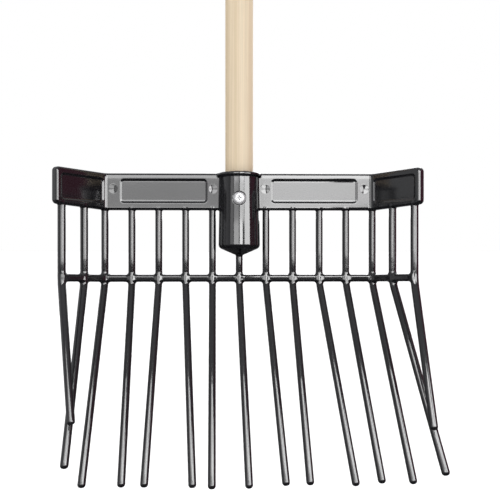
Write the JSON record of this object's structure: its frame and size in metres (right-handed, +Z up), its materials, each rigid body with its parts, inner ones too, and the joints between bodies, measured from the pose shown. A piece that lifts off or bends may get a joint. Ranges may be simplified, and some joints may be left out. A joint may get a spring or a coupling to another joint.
{
  "type": "bedding fork",
  "caption": "Moulded black plastic bedding fork with a cross-braced row of forward-curved tines, angled side wings and a long round wooden handle held by one screw.",
  "frame": {"origin": "centre of the socket's mouth, on the handle's axis", "axes": "+Z up along the handle towards its free end, -Y towards the load side that the tines curve to, +X to the right when the load side faces the viewer"},
  "size_m": [0.351, 0.1354, 1.5317],
  "materials": {
    "head_plastic": "glossy injection-moulded black plastic",
    "handle_wood": "smooth clear-finished pale hardwood",
    "screw_steel": "bright zinc plating"
  },
  "bodies": {
    "root": {"handle": "handle_wood", "handle_screw": "screw_steel", "socket": "head_plastic", "left_panel": "head_plastic", "right_panel": "head_plastic", "left_wing": "head_plastic", "right_wing": "head_plastic", "crossbar_left": "head_plastic", "crossbar_centre": "head_plastic", "crossbar_right": "head_plastic", "bar_01": "head_plastic", "bar_02": "head_plastic", "bar_03": "head_plastic", "bar_04": "head_plastic", "bar_05": "head_plastic", "bar_06": "head_plastic", "bar_07": "head_plastic", "bar_08": "head_plastic", "bar_09": "head_plastic", "bar_10": "head_plastic", "bar_11": "head_plastic", "bar_12": "head_plastic", "bar_13": "head_plastic", "bar_14": "head_plastic", "bar_15": "head_plastic", "tine_01": "head_plastic", "tine_02": "head_plastic", "tine_03": "head_plastic", "tine_04": "head_plastic", "tine_05": "head_plastic", "tine_06": "head_plastic", "tine_07": "head_plastic", "tine_08": "head_plastic", "tine_09": "head_plastic", "tine_10": "head_plastic", "tine_11": "head_plastic", "tine_12": "head_plastic", "tine_13": "head_plastic", "tine_14": "head_plastic", "tine_15": "head_plastic"}
  },
  "joints": []
}
